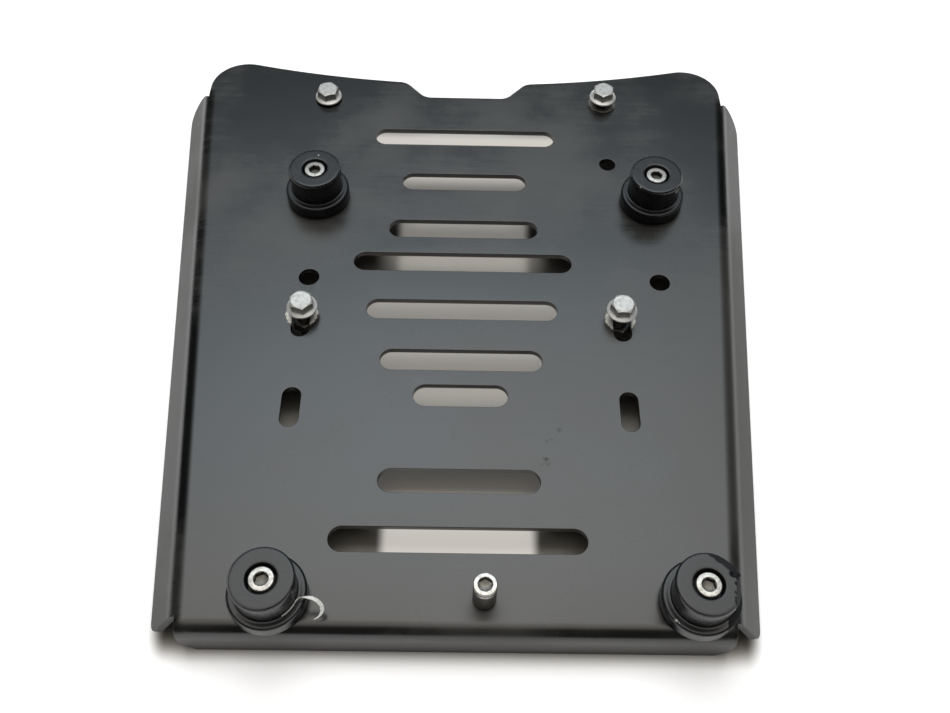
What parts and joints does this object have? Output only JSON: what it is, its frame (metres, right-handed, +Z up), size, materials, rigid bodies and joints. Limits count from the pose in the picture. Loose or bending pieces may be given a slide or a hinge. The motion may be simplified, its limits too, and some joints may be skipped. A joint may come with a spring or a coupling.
{
  "type": "top case mounting plate",
  "caption": "Folded sheet plate for a motorcycle's rear carrier, slotted across, with rubber feet and a locating spigot on its deck that carry a top case.",
  "frame": {"origin": "under the middle of the plate, level with the lower edge of its near flange", "axes": "+Z up out of the deck, +Y towards the far edge with its two rounded ears, +X to the right"},
  "size_m": [0.3036, 0.3256, 0.0398],
  "materials": {
    "black_paint": "satin black paint, dusty and scuffed",
    "rubber": "black moulded rubber",
    "stainless": "turned stainless steel",
    "zinc": "bright zinc plate",
    "zinc_dark": "dark oxidised steel",
    "flash": "thin pale torn flash"
  },
  "bodies": {
    "root": {"plate": "black_paint", "spigot_sleeve": "zinc_dark", "spigot_screw": "stainless", "spigot_nut": "zinc", "peeled_strip": "flash", "foot_far_left": "rubber", "foot_screw_far_left": "stainless", "foot_washer_far_left": "stainless", "foot_nut_far_left": "zinc", "foot_far_right": "rubber", "foot_screw_far_right": "stainless", "foot_washer_far_right": "stainless", "foot_nut_far_right": "zinc", "foot_near_left": "rubber", "foot_screw_near_left": "stainless", "foot_washer_near_left": "stainless", "foot_nut_near_left": "zinc", "foot_near_right": "rubber", "foot_screw_near_right": "stainless", "foot_washer_near_right": "stainless", "foot_nut_near_right": "zinc", "flange_bolt_far_left": "zinc", "bolt_nut_far_left": "zinc", "flange_bolt_far_right": "zinc", "bolt_nut_far_right": "zinc", "flange_bolt_mid_left": "zinc", "bolt_nut_mid_left": "zinc", "flange_bolt_mid_right": "zinc", "bolt_nut_mid_right": "zinc"}
  },
  "joints": []
}
